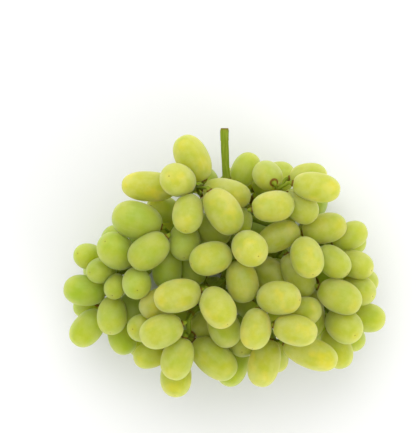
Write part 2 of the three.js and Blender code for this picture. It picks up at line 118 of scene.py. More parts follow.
# Each spray is one side branch. It leaves the main stem at the share "from" of its length and runs
# through its forks, each x, y, z. A berry is the number of its fork, its middle's x, y, z, its length
# in plan, its width, and the way its tip points in plan, in degrees from +X. "ripe" is how far the
# spray has turned from green to yellow.
SPRAYS = {
    "upper_left": {
        "from": 0.36,
        "ripe": 0.72,
        "forks": ((-8.5, 43, 48), (-15.5, 41, 54)),
        "berries": (
            (0, -17.5, 57, 60, 27.5, 18, 118),
            (1, -1, 28, 74, 27.5, 18.5, -58),
            (1, -25, 45, 70, 19.5, 18, 158),
            (1, -41, 42, 57, 31, 16.5, 178),
            (1, -20, 27, 72, 21.5, 17, -98),
            (0, -1, 39, 58, 27, 16, -12),
        ),
    },
    "upper_right": {
        "from": 0.3,
        "ripe": 0.62,
        "forks": ((7.5, 37, 40), (14, 29, 54), (29, 40, 60)),
        "berries": (
            (0, 11.5, 51, 38, 20, 15, 62),
            (1, 26.5, 31, 70, 23.5, 17, 9),
            (1, 10, 24.5, 58, 15.5, 12.5, -100),
            (2, 24, 47.5, 54, 17, 15.5, 131),
            (2, 50, 41, 66, 26.5, 16, -10),
            (2, 46, 47, 53, 21, 15.5, 5),
            (2, 42, 30.5, 60, 21.5, 16, -42),
        ),
    },
    "right": {
        "from": 0.45,
        "ripe": 0.6,
        "forks": ((40, 15, 48), (46.5, 12.5, 46), (55.5, 8, 38), (61.5, -8.5, 34)),
        "berries": (
            (0, 54.5, 19, 60, 25, 16.5, 12),
            (0, 45, 3, 70, 22.5, 18, -72),
            (1, 59.5, 0.5, 60, 21, 16, -40),
            (2, 68.5, 15, 46, 21, 15, 20),
            (2, 72, -1.5, 46, 20, 15.5, -20),
            (3, 76, -10, 32, 18, 14.5, -15),
            (3, 73.5, -14.5, 45, 20, 16, -25),
        ),
    },
    "centre": {
        "from": 0.5,
        "ripe": 0.75,
        "forks": ((5, 10.5, 52), (14, 8.5, 46), (32, 7.5, 43)),
        "berries": (
            (0, 13.5, 8, 79, 20.5, 18.5, -42),
            (0, -7.5, 2.5, 72, 23.5, 18, -165),
            (0, 9.5, -10, 67, 24, 17.5, -80),
            (1, 29.5, 14, 61, 25, 15.5, 24),
            (2, 40, -7, 53, 26.5, 16.5, -62),
            (1, 26, -7, 52, 23, 17, -52),
        ),
    },
    "lower_right": {
        "from": 0.62,
        "ripe": 0.5,
        "forks": ((47.5, -12, 44), (53.5, -24, 38), (61.5, -30.5, 32)),
        "berries": (
            (0, 63, -18.5, 60, 25.5, 18, -25),
            (0, 48, -27, 44, 27.5, 15, -84),
            (1, 65.5, -34.5, 52, 21.5, 18.5, -42),
            (1, 62, -47, 40, 24, 16.5, -68),
            (2, 78, -30.5, 36, 22, 16, -8),
            (2, 69.5, -40.5, 28, 19, 14.5, -48),
        ),
    },
    "bottom_right": {
        "from": 0.72,
        "ripe": 0.78,
        "forks": ((17, -20, 54), (24, -34, 55), (27, -42.5, 44)),
        "berries": (
            (0, 29.5, -19.5, 75, 24, 18.5, -4),
            (0, 17, -36, 73, 22.5, 17, -98),
            (1, 38.5, -36.5, 69, 24.5, 17, -12),
            (2, 47, -49.5, 57, 31.5, 17, -21),
            (2, 22, -55, 52, 27, 17.5, -104),
            (2, 28, -48.5, 36, 17, 14, -80),
            (1, 42, -27.5, 57, 23, 16.5, 19),
        ),
    },
    "centre_low": {
        "from": 0.68,
        "ripe": 0.75,
        "forks": ((-9.5, -14, 56), (-29, -11.5, 46)),
        "berries": (
            (0, -4, -24, 78, 23.5, 18.5, -60),
            (0, -25.5, -18, 74, 26.5, 18, -167),
            (1, -37.5, -20.5, 60, 21, 15.5, -150),
            (0, -0.5, -35.5, 55, 23, 17.5, -66),
        ),
    },
    "lower_left": {
        "from": 0.75,
        "ripe": 0.62,
        "forks": ((-18.5, -28, 53), (-20, -40.5, 48), (-27, -45, 40)),
        "berries": (
            (0, -34.5, -37, 68, 24.5, 18, -160),
            (1, -25.5, -52.5, 62, 24, 17.5, -106),
            (1, -6, -52.5, 52, 29.5, 18.5, -41),
            (2, -26.5, -63, 44, 22, 17, -94),
            (2, -40.5, -51, 46, 19.5, 14.5, -165),
            (2, -44.5, -35.5, 50, 17.5, 15.5, -175),
            (1, -13, -34.5, 44, 20, 15.5, 40),
        ),
    },
    "tip": {
        "from": 0.93,
        "ripe": 0.5,
        "forks": ((9, -42.5, 36),),
        "berries": (
            (0, 5, -57, 36, 24, 16, -112),
            (0, 9.5, -43.5, 42, 16.5, 14.5, -90),
        ),
    },
    "left": {
        "from": 0.46,
        "ripe": 0.38,
        "forks": ((-23.5, 22.5, 46), (-30, 16, 53)),
        "berries": (
            (1, -48, 23, 62, 28, 20.5, 164),
            (1, -41.5, 6.5, 68, 25, 18, -142),
            (0, -23, 12, 64, 21, 17, -92),
            (0, -34, 29.5, 46, 17.5, 15, 165),
            (0, -6.5, 18.5, 58, 22, 16.5, -30),
            (1, -31, -4.5, 54, 23, 16.5, -93),
            (1, -20.5, -3.5, 50, 23, 16.5, -70),
        ),
    },
    "left_wing": {
        "from": 0.56,
        "ripe": 0.28,
        "forks": ((-48.5, -3, 44), (-58.5, -7.5, 40), (-62, -19, 36), (-54, -27, 30)),
        "berries": (
            (0, -59, 6.5, 60, 22, 19, 139),
            (0, -47.5, -12, 60, 17, 16, -80),
            (1, -74.5, 3, 42, 17, 14.5, 163),
            (1, -67.5, -4.5, 50, 16.5, 14, -172),
            (1, -60, -13, 54, 14, 12, -108),
            (2, -77, -15.5, 42, 23.5, 17, 174),
            (2, -75.5, -36, 32, 23.5, 16.5, -130),
            (2, -62, -29, 48, 21, 16.5, -94),
            (2, -76, -24.5, 28, 15, 12.5, -160),
            (3, -56.5, -41, 36, 20.5, 15, -72),
            (3, -50.5, -25.5, 40, 18.5, 15.5, -80),
        ),
    },
}

UP = np.array((0.0, 0.0, 1.0))
GOLDEN_ANGLE = math.pi * (3 - math.sqrt(5))


def smooth_curve(points):
    """A curve through the points, as a function of the share of the way along it."""
    points = np.array(points, float)
    ends = np.vstack((2 * points[0] - points[1], points, 2 * points[-1] - points[-2]))
    last = len(points) - 1

    def at(share):
        place = share * last
        first = min(int(place), last - 1)
        t = place - first
        before, start, end, after = ends[first : first + 4]
        leave = (end - before) / 2
        arrive = (after - start) / 2
        square = -3 * start + 3 * end - 2 * leave - arrive
        cube = 2 * start - 2 * end + leave + arrive
        return start + leave * t + square * t**2 + cube * t**3

    return at


rachis = smooth_curve(RACHIS)
branches = {
    name: smooth_curve([rachis(spray["from"]), *spray["forks"]]) for name, spray in SPRAYS.items()
}


def unit(vector):
    return vector / np.linalg.norm(vector)


class Berry:
    """One berry with what the settling needs: the balls that stand for it, and its own place."""

    def __init__(self, spray, start, centre, axis, length, width, hold, twig=None):
        self.spray = spray
        self.start = np.array(start, float)
        self.twig = twig
        self.centre = np.array(centre, float)
        self.axis = axis
        self.half = length / 2
        self.wide = width / 2
        self.hold = hold
        focus = self.half**2 - self.wide**2
        self.along = BALLS * focus / self.half
        self.radii = self.wide * np.sqrt(1 - self.along**2 / focus)
        self.home = self.centre.copy()

    def depth(self):
        """How far below its middle the berry reaches."""
        rise = self.axis[2]
        return math.sqrt((self.half * rise) ** 2 + self.wide**2 * (1 - rise**2))

    def balls(self):
        return self.centre + self.axis * self.along[:, None]

    def base(self):
        return self.centre - self.axis * self.half


def listed_berry(name, row):
    """A berry shorter in plan than it is long stands up from the plan, away from its fork."""
    fork, x, y, z, plan_length, width, heading = row
    start = SPRAYS[name]["forks"][fork]
    length = max(plan_length, SLIMNESS * width)
    rise = math.sqrt((length**2 - plan_length**2) / (length**2 - width**2))
    level = math.sqrt(1 - rise**2)
    turn = math.radians(heading)
    way = -1 if z < start[2] else 1
    axis = np.array((level * math.cos(turn), level * math.sin(turn), way * rise))
    return Berry(name, start, (x, y, z), axis, length, width, LISTED_HOLD)


def unseen_starts():
    """Where the unseen berries can start: a twig below each high fork, and each low fork."""
    starts = []
    for name, spray in SPRAYS.items():
        for fork in spray["forks"]:
            if fork[2] < HIGH_FORK:
                starts.append((name, fork, None))
            else:
                low = (fork[0], fork[1], fork[2] - FORK_DROP)
                starts.append((name, low, (fork, low)))
    return starts


def draws(seed):
    """Even draws between 0 and 1 that are the same each run."""
    drawn = seed
    while True:
        drawn = (drawn * DRAW_FACTOR + DRAW_ADDED) % DRAW_RANGE
        yield drawn / DRAW_RANGE


def between(limits, share):
    return limits[0] + (limits[1] - limits[0]) * share


def unseen_berries(listed):
    """A layer's berries stand on a sunflower spiral, each pointing away from the nearest start."""
    berries = list(listed)
    starts = unseen_starts()
    chance = draws(UNSEEN_SEED)
    for layer in LAYERS:
        for place in range(layer["count"]):
            length = between(layer["length"], next(chance))
            width = length / between(UNSEEN_SLIMNESS, next(chance))
            share = math.sqrt((place + 0.5) / layer["count"])
            turn = place * GOLDEN_ANGLE
            x = layer["middle"][0] + layer["half"][0] * share * math.cos(turn)
            y = layer["middle"][1] + layer["half"][1] * share * math.sin(turn)
            outer = max(share - FLAT_SHARE, 0) / (1 - FLAT_SHARE)
            bottom = layer["level"] - FLAT + layer["rise"] * outer**2
            centre = np.array((x, y, length / 2 + bottom))
            away = [(np.linalg.norm(np.array(start[1]) - centre), start) for start in starts]
            far = [pair for pair in away if pair[0] > length / 2 + SHORTEST_PEDICEL]
            name, start, twig = min(far, key=lambda pair: pair[0])[1]
            axis = unit(centre - start)
            berry = Berry(name, start, centre, axis, length, width, UNSEEN_HOLD, twig)
            berry.centre[2] = berry.depth() + bottom
            berry.home = berry.centre.copy()
            if all(contact(berry, other)[0] > -DEEPEST_START for other in berries):
                berries.append(berry)
    return berries


def contact(one, other):
    """The gap between the closest balls of two berries, the way to the first berry, and where."""
    apart = one.balls()[:, None] - other.balls()[None]
    far = np.linalg.norm(apart, axis=2)
    gaps = far - one.radii[:, None] - other.radii[None]
    i, j = np.unravel_index(np.argmin(gaps), gaps.shape)
    way = apart[i, j] / far[i, j]
    middle = other.balls()[j] + way * (other.radii[j] + gaps[i, j] / 2)
    return gaps[i, j], way, middle


def stem_lines(berries):
    """Straight lengths that stand for the twigs, the main stem and the branches, with radii."""
    lines = []
    seen = set()
    for berry in berries:
        if berry.twig and berry.twig not in seen:
            seen.add(berry.twig)
            lines.append((*berry.twig, BRANCH_TIP_RADIUS))
    for curve in (rachis, *branches.values()):
        radius = PEDUNCLE_RADIUS if curve is rachis else BRANCH_TIP_RADIUS
        points = [curve(step / STEM_STEPS) for step in range(STEM_STEPS + 1)]
        lines += [(start, end, radius) for start, end in zip(points, points[1:])]
    return lines


def from_lines(points, starts, ends):
    """The way from the nearest point of each line to each point."""
    line = ends - starts
    share = np.einsum("...k,...k", points - starts, line) / np.einsum("...k,...k", line, line)
    return points - starts - line * np.clip(share, 0, 1)[..., None]


@lru_cache(maxsize=1)
def settled():
    """Each round every berry is pushed off what it is too close to and drawn to its own place."""
    listed = [listed_berry(name, row) for name in SPRAYS for row in SPRAYS[name]["berries"]]
    berries = unseen_berries(listed)
    lines = stem_lines(berries)
    count = len(berries)
    centre = np.array([berry.centre for berry in berries])
    home = np.array([berry.home for berry in berries])
    axis = np.array([berry.axis for berry in berries])
    half = np.array([berry.half for berry in berries])
    along = np.array([berry.along for berry in berries])
    radii = np.array([berry.radii for berry in berries])
    hold = np.array([berry.hold for berry in berries])
    floor = np.array([berry.depth() for berry in berries]) - FLAT
    own_start = np.array([berry.start for berry in berries])
    spray = np.array([list(SPRAYS).index(berry.spray) for berry in berries])
    starts = np.vstack([[line[0] for line in lines], own_start])
    radius = np.array([line[2] for line in lines] + [PEDICEL_RADIUS] * count)
    first, second = np.triu_indices(count, 1)
    room = np.where(spray[first] == spray[second], -PRESS, CLEAR)
    reach = half[first] + half[second] + CLEAR
    whose, which = np.indices((count, len(starts)))
    foreign = which - len(lines) != whose

    for step in range(ROUNDS):
        moves = np.zeros_like(centre)
        ball = centre[:, None] + axis[:, None] * along[..., None]

        near = np.linalg.norm(centre[first] - centre[second], axis=1) <= reach
        i, j = first[near], second[near]
        apart = ball[i][:, :, None] - ball[j][:, None]
        far = np.linalg.norm(apart, axis=3)
        gaps = (far - radii[i][:, :, None] - radii[j][:, None]).reshape(len(i), -1)
        best = np.argmin(gaps, axis=1)
        pair = np.arange(len(i))
        way = apart.reshape(len(i), -1, 3)[pair, best] / far.reshape(len(i), -1)[pair, best, None]
        push = np.maximum(room[near] - gaps[pair, best], 0)[:, None] * way / 2
        np.add.at(moves, i, push)
        np.add.at(moves, j, -push)

        ends = np.vstack([[line[1] for line in lines], centre - axis * half[:, None]])
        rough = np.linalg.norm(from_lines(centre[:, None], starts, ends), axis=2)
        i, j = np.nonzero(foreign & (rough < half[:, None] + radius + STEM_CLEAR))
        away = from_lines(ball[i], starts[j][:, None], ends[j][:, None])
        far = np.linalg.norm(away, axis=2)
        gaps = far - radii[i] - radius[j][:, None]
        best = np.argmin(gaps, axis=1)
        pair = np.arange(len(i))
        way = away[pair, best] / far[pair, best, None]
        np.add.at(moves, i, way * np.maximum(STEM_CLEAR - gaps[pair, best], 0)[:, None])

        moves += (home - centre) * hold * (1 + (LOOSENED - 1) * (step / ROUNDS))
        centre = centre + moves * EASE
        centre[:, 2] = np.maximum(centre[:, 2], floor)

    for berry, place in zip(berries, centre):
        berry.centre = place
    return berries


# --- Settings ------------------------------------------------------------------------------------


def linear(code):
    """The linear red, green and blue of an sRGB hex colour."""
    parts = [int(code[place : place + 2], 16) / 255 for place in (1, 3, 5)]
    return tuple(p / 12.92 if p <= 0.04045 else ((p + 0.055) / 1.055) ** 2.4 for p in parts)


def colour(name, code, description):
    return FloatVectorProperty(
        name=name, description=description, default=linear(code), subtype="COLOR", min=0, max=1
    )


def millimetres(name, size, description):
    return FloatProperty(
        name=name, description=description, default=size * MM, unit="LENGTH", precision=5, min=0
    )


class GrapeBerrySettings(bpy.types.PropertyGroup):
    """Sizes and colours of the berries."""

    swell: millimetres("Swell", 0.1, "How far a berry stands out from its faceted solid")
    bend: millimetres("Bend", 0.5, "How far a berry's middle bows to one side")
    lump: FloatProperty(
        name="Lumps", description="Unevenness of a berry's girth", default=0.009, subtype="FACTOR"
    )
    dent_radius: millimetres("Dent radius", 2.6, "Radius of the dent round a berry's stem")
    dent_depth: millimetres("Dent depth", 0.5, "Depth of the dent round a berry's stem")
    scar_radius: millimetres("Scar radius", 0.36, "Radius of the dry dot at a berry's tip")
    sides: IntProperty(name="Sides", description="Faces round a berry", default=56, min=12)
    rings: IntProperty(name="Rings", description="Faces from tip to stem", default=40, min=8)
    unripe: colour("Unripe skin", "#8FA920", "Skin of the greenest berries")
    ripe: colour("Ripe skin", "#ADB124", "Skin of the yellowest berries")
    golden: colour("Golden patch", "#C8BC26", "Sunned patches on ripe berries")
    bloom: colour("Bloom", "#CED3A6", "The wax that dusts the skin")
    scar: colour("Scar", "#5E5018", "The dry dot at the tip and the pores")
    rim: colour("Stem rim", "#7A3A06", "The corky ring where the stem enters")


class GrapeStemSettings(bpy.types.PropertyGroup):
    """Sizes and colours of the stems."""

    collar_radius: millimetres("Collar radius", 1.7, "Radius of the collar at a berry's stem end")
    collar_length: millimetres("Collar length", 2.2, "Length of that collar")
    knuckle: millimetres("Knuckle", 0.6, "How far a stem swells where it forks")
    fresh: colour("Fresh stem", "#7E941A", "Green bark of the stems")
    pale: colour("Pale stem", "#A4B23E", "Light streaks in the bark")
    dry: colour("Dry stem", "#743A12", "Corky rings and scars")
    cut: colour("Cut wood", "#B9B48A", "The cut end of the stalk")


class GrapeStageSettings(bpy.types.PropertyGroup):
    """The camera, the floor and the lights."""

    lens: FloatProperty(
        name="Lens", description="Focal length", default=500, min=10, unit="CAMERA"
    )
    picture_height: millimetres("Picture height", 238.15, "What the picture's long side takes in")
    focus_height: millimetres("Focus height", 50, "The level at which that is measured")
    key_power: FloatProperty(name="Key light", description="Soft light above the stalk", default=10.8)
    fill_power: FloatProperty(name="Fill light", description="Soft light facing it", default=2.7)
    sky: FloatProperty(name="Sky", description="Strength of the light from all round", default=0.88)
    paper: colour("Paper", "#FCFCFC", "The floor")


# --- Meshes --------------------------------------------------------------------------------------


STEEP = 0.9  # an axis that rises more than this is too upright to be crossed with UP


def mound(distance, width):
    """A smooth mound: 1 where the distance is 0, and next to nothing from two widths on."""
    return np.exp(-((distance / width) ** 2))


def sides_of(axis):
    """Two directions square to an axis and to each other."""
    helper = UP if abs(axis[2]) < STEEP else np.array((1.0, 0.0, 0.0))
    side = unit(np.cross(helper, axis))
    return side, np.cross(axis, side)


def ring_faces(rings, sides):
    """Faces of a closed shape: its rings of points come first, and then its two end points."""
    faces = []
    last = (rings - 1) * sides
    first_tip = rings * sides
    last_tip = first_tip + 1
    for side in range(sides):
        after = (side + 1) % sides
        faces.append((first_tip, side, after))
        for low in range(0, last, sides):
            high = low + sides
            faces.append((low + side, high + side, high + after, low + after))
        faces.append((last_tip, last + after, last + side))
    return faces


class Skin:
    """Points, faces and named values that become one mesh."""

    def __init__(self):
        self.points = []
        self.faces = []
        self.values = {}
        self.count = 0

    def add(self, points, faces, **values):
        """Adds points, faces and values: one value for all the points, or one for each."""
        self.faces += [tuple(corner + self.count for corner in face) for face in faces]
        self.points.append(points)
        for name, value in values.items():
            value = np.array(value, float)
            if value.ndim == 0:
                value = np.full(len(points), value)
            self.values.setdefault(name, []).append(value)
        self.count += len(points)

    def piece(self, name, material, slot, *nodes):
        """Makes a piece of the mesh, which rides on the bunch and stands for the nodes."""
        mesh = bpy.data.meshes.new(name)
        points = np.vstack(self.points) - np.array((*MIDDLE, 0))
        mesh.from_pydata(points * MM, [], self.faces)
        for label, parts in self.values.items():
            values = np.concatenate(parts)
            vector = values.ndim == 2
            kind = "FLOAT_VECTOR" if vector else "FLOAT"
            attribute = mesh.attributes.new(label, kind, "POINT")
            attribute.data.foreach_set("vector" if vector else "value", values.ravel())
        mesh.shade_smooth()
        mesh.materials.append(material)
        mesh.validate()
        piece = bpy.data.objects.new(name, mesh)
        bpy.context.scene.collection.objects.link(piece)
        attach(piece, "root")
        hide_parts(*nodes)


PRESS_SOFTNESS = 0.8  # how gently a berry's skin turns into the flat where it is pressed, in mm
FLOOR = (np.zeros(3), -UP)


def pressed(points, planes):
    """Points moved so that none lies beyond a plane, with a soft edge round each flat."""
    for middle, outward in planes:
        beyond = (points - middle) @ outward
        soft = -PRESS_SOFTNESS * np.exp(-(beyond + PRESS_SOFTNESS) / PRESS_SOFTNESS)
        kept = np.where(beyond < -PRESS_SOFTNESS, beyond, soft)
        points = points + (kept - beyond)[:, None] * outward
    return points


def press_planes(berries, swell):
    """For each berry, the flats between it and the berries that it is pressed against."""
    planes = [[FLOOR] for _ in berries]
    for i, one in enumerate(berries):
        for j in range(i + 1, len(berries)):
            other = berries[j]
            if np.linalg.norm(one.centre - other.centre) > one.half + other.half + 2 * swell:
                continue
            gap, way, middle = contact(one, other)
            if gap < 2 * swell:
                planes[i].append((middle, -way))
                planes[j].append((middle, way))
    return planes


DOME_TOP = 79  # the middle of the highest berry
DOME_HALF = (88, 74)  # half of the bunch in plan
DOME_FALL = 0.5  # how far the dome falls at its rim, as a share of its top
SUN_AND_SHADE_DEPTH = 0.12  # how far below the dome a berry is still sunned and painted as lit, as a share of its top
SUN_AND_SHADE_STRENGTH = 0.9  # how much riper, yellower and lighter a berry that lies one whole top higher is made: partly real sun, partly painted light


def ripening_and_painted_shade(centre):
    """How much the sun adds to how ripe a berry is, with painted light and shade in it. The bunch is
    a low dome, and a berry deep below it is in its neighbours' shade, which takes some away. This is
    partly the real green of berries that ripened in shade, and partly painted shade: deep berries are
    painted darker and greener, and berries high on the dome lighter and yellower."""
    x, y, z = centre
    dome = 1 - DOME_FALL * ((x / DOME_HALF[0]) ** 2 + (y / DOME_HALF[1]) ** 2)
    return SUN_AND_SHADE_STRENGTH * (z / DOME_TOP - dome + SUN_AND_SHADE_DEPTH)


RING_CROWDING = 0.6  # the share by which a berry's rings stand closer together at its two ends
# The swellings round a berry's girth: how many go round it, their weight, and how far they turn from
# the berry's middle to its end, in radians.
LUMPS = ((2, 1, 0), (3, 0.6, 1.5), (1, 0.8, 2.5))
FAR = 99  # the distance to a mark, in mm, on the half of a berry that doesn't have it
PIT_WIDTH = 2.6  # the hollow round the tip's dot, in radii of the dot
PIT_DEPTH = 0.3  # mm
NUB_WIDTH = 0.9  # the dot's own nub, in its radii
NUB_HEIGHT = 0.4  # mm
SEEDS = 100  # each berry's patterns start at its own place from 0 to this


def blunted(value):
    return np.sign(value) * np.abs(value) ** (2 / BLUNTNESS)


def add_berry(skin, berry, planes, ripeness_and_shade, settings, chance):
    """A blunt oval with a dented stem end, a dry dot at its tip and flats where it is pressed."""
    sides, rings = settings.sides, settings.rings
    swell, bend = settings.swell / MM, settings.bend / MM
    dent_radius, dent_depth = settings.dent_radius / MM, settings.dent_depth / MM
    scar_radius = settings.scar_radius / MM
    across, aside = sides_of(berry.axis)

    share = np.arange(1, rings) / rings
    tilt = math.pi * (share - RING_CROWDING * np.sin(2 * math.pi * share) / (2 * math.pi))
    turn = 2 * math.pi * np.arange(sides) / sides
    tilt, turn = (grid.ravel() for grid in np.meshgrid(tilt, turn, indexing="ij"))
    tilt = np.append(tilt, (0, math.pi))
    turn = np.append(turn, (0, 0))

    along = blunted(np.cos(tilt))
    around = blunted(np.sin(tilt))
    girth = berry.wide * (1 + EGG * along) + swell
    *phases, bow_turn = chance.uniform(0, 2 * math.pi, len(LUMPS) + 1)
    lumps = sum(
        weight * np.cos(count * turn + phase + twist * along)
        for (count, weight, twist), phase in zip(LUMPS, phases)
    )
    girth = girth * (1 + settings.lump * lumps * around)
    out = around * girth
    from_stem = np.where(along < 0, out, FAR)
    from_tip = np.where(along > 0, out, FAR)
    up = along * (berry.half + swell) + dent_depth * mound(from_stem, dent_radius)
    up = up - PIT_DEPTH * mound(from_tip, PIT_WIDTH * scar_radius)
    up = up + NUB_HEIGHT * mound(from_tip, NUB_WIDTH * scar_radius)

    bow = bend * chance.uniform(-1, 1) * (1 - along**2)
    side = np.cos(bow_turn) * across + np.sin(bow_turn) * aside
    spread = out[:, None] * (np.cos(turn)[:, None] * across + np.sin(turn)[:, None] * aside)
    points = berry.centre + up[:, None] * berry.axis + spread + bow[:, None] * side
    skin.add(
        pressed(points, planes),
        ring_faces(rings - 1, sides),
        berry_place=np.stack((out * np.cos(turn), out * np.sin(turn), up), axis=1),
        berry_tip=from_tip,
        berry_stem=from_stem,
        berry_ripe=ripeness_and_shade,
        berry_seed=chance.uniform(0, SEEDS),
    )


RIDGE_COUNT = 5  # lengthwise ridges round a stem
RIDGE_TWIST = 0.12  # how far they turn in a millimetre, in radians
OVAL_WEIGHT = 0.6  # a stem is a little oval too, which weighs this much beside the ridges
OVAL_TWIST = 0.5


def tube(skin, points, radii, sides, dry=0.0, ridges=0.0, phase=0.0, cut=0.0):
    """A closed stem along a line of points, with a radius and a dryness at each. Its first end is
    bare wood where "cut" is 1."""
    points = np.array(points, float)
    count = len(points)
    radii = np.broadcast_to(np.array(radii, float), count)
    dry = np.broadcast_to(np.array(dry, float), count)
    steps = np.diff(points, axis=0)
    along = np.concatenate(([0], np.cumsum(np.linalg.norm(steps, axis=1))))
    tangents = np.gradient(points, axis=0)
    tangents /= np.linalg.norm(tangents, axis=1)[:, None]
    side = sides_of(tangents[0])[0]
    turn = 2 * math.pi * np.arange(sides) / sides
    rows = []
    places = []
    for point, tangent, radius, reached in zip(points, tangents, radii, along):
        side = unit(side - tangent * (side @ tangent))
        other = np.cross(tangent, side)
        uneven = np.cos(RIDGE_COUNT * turn + RIDGE_TWIST * reached + phase)
        uneven += OVAL_WEIGHT * np.cos(2 * turn + OVAL_TWIST * reached)
        out = radius * (1 + ridges * uneven)
        circle = np.cos(turn)[:, None] * side - np.sin(turn)[:, None] * other
        rows.append(point + out[:, None] * circle)
        level = np.full(sides, reached)
        places.append(np.stack((radius * np.cos(turn), radius * np.sin(turn), level), axis=1))
    first_end = count * sides
    bare = np.zeros(first_end + 2)
    bare[:sides] = bare[first_end] = cut
    skin.add(
        np.vstack((*rows, points[0], points[-1])),
        ring_faces(count, sides),
        stem_place=np.vstack((*places, (0, 0, 0), (0, 0, along[-1]))),
        stem_dry=np.append(np.repeat(dry, sides), (dry[0], dry[-1])),
        stem_cut=bare,
    )


# --- Materials -----------------------------------------------------------------------------------

# What a row of each table fills. A ramp's row holds the value that it reads, the two limits between
# which it rises or falls smoothly, and what they become. Distances are in millimetres.
NOISE = ("Vector", "W", "Scale", "Detail")
RAMP = ("Value", "From Min", "From Max", "To Min", "To Max")
MATH = ("operation", 0, 1)
SMOOTH = {"interpolation_type": "SMOOTHSTEP"}
FIRST_COLOUR, SECOND_COLOUR, MIXED_COLOUR = 6, 7, 2  # a mixing node's inputs and its output


def add_node(tree, kind, settings, output=0):
    """Adds a node, sets its properties, sets or links its inputs, and gives one output."""
    node = tree.nodes.new(kind)
    for name, value in settings.items():
        if isinstance(name, str) and hasattr(node, name):
            setattr(node, name, value)
        elif isinstance(value, bpy.types.NodeSocket):
            tree.links.new(value, node.inputs[name])
        else:
            node.inputs[name].default_value = value
    return node.outputs[output] if node.outputs else None


def add_rows(tree, kind, settings, names, rows):
    """Adds a node for each row of a table, and gives their outputs by the rows' names."""
    return {
        label: add_node(tree, kind, {**settings, **dict(zip(names, row))})
        for label, row in rows.items()
    }


def add_surface(tree, relief, height, settings, strength):
    """Adds the shader, with a relief that is so many millimetres high, and the output."""
    bump = {"Height": relief, "Strength": strength, "Distance": height * MM}
    normal = add_node(tree, "ShaderNodeBump", bump)
    surface = add_node(tree, "ShaderNodeBsdfPrincipled", {"Normal": normal, **settings})
    add_node(tree, "ShaderNodeOutputMaterial", {"Surface": surface})


def new_material(name):
    material = bpy.data.materials.new(name)
    material.use_nodes = True
    tree = material.node_tree
    tree.nodes.clear()
    return material, tree


BLOTCH_SIZE = 9  # mm across the soft green and yellow clouds in the flesh
SUNNED_SIZE = 10  # mm across a patch that the sun has turned golden
VEIN_SPACING = 1.6  # mm between the faint lengthwise veins
BLOOM_SIZE = 5  # mm across a patch of wax
GRAIN_SIZE = 0.35  # mm across the finest unevenness of the wax
SPECK_SPACING = 2.4  # mm between pores, drawn coarser than real so that they show
LENGTHWISE = (1, 1, 0.12)  # draws a pattern out along a berry or a stem
SKIN_RELIEF = 0.2  # mm that the grain and the veins stand out
GLOW_DEPTH = 45  # mm that light soaks through, more than a berry is wide, so that all of it glows


